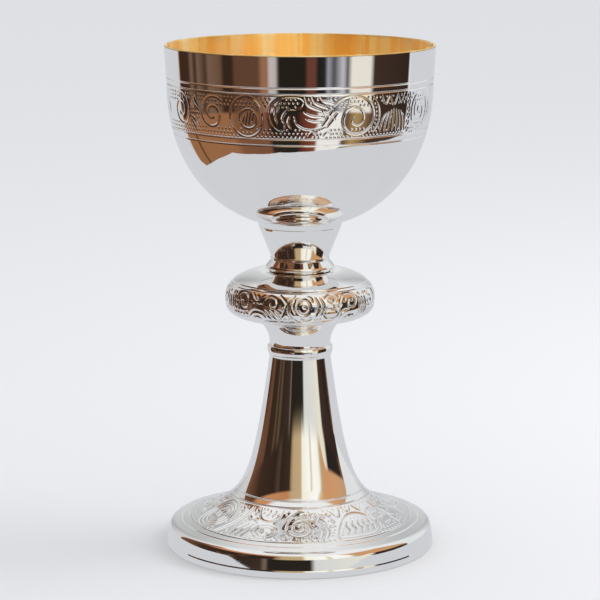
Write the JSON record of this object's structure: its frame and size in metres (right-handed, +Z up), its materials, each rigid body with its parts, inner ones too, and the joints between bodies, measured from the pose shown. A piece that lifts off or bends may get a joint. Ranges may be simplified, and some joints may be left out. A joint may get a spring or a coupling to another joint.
{
  "type": "communion chalice",
  "caption": "Footed cup on a collar, knop and trumpet stem, gilt inside, with chased bands, built as a stack clamped by one tie rod.",
  "frame": {"origin": "centre of the foot's underside, on the surface that the chalice stands on", "axes": "+Z up along the chalice's axis, from the foot to the rim; X and Y are alike, and +Y points away from the viewer"},
  "size_m": [0.1146, 0.1146, 0.215],
  "materials": {
    "silver_plate": "polished silver plate",
    "gilt": "satin gilding over silver plate",
    "turned_brass": "turned brass",
    "zinc_steel": "zinc-plated steel"
  },
  "bodies": {
    "root": {"cup": "silver_plate", "cup_boss": "silver_plate", "upper_collar": "silver_plate", "neck_ring": "silver_plate", "knop_upper_shell": "silver_plate", "knop_lower_shell": "silver_plate", "knop_spacer": "turned_brass", "lower_collar": "silver_plate", "bead_ring": "silver_plate", "stem_and_foot": "silver_plate", "stem_plug": "turned_brass", "foot_rim": "silver_plate", "tie_rod": "zinc_steel", "clamp_plate": "turned_brass", "plain_washer": "zinc_steel", "spring_washer": "zinc_steel", "hex_nut": "zinc_steel"}
  },
  "joints": []
}
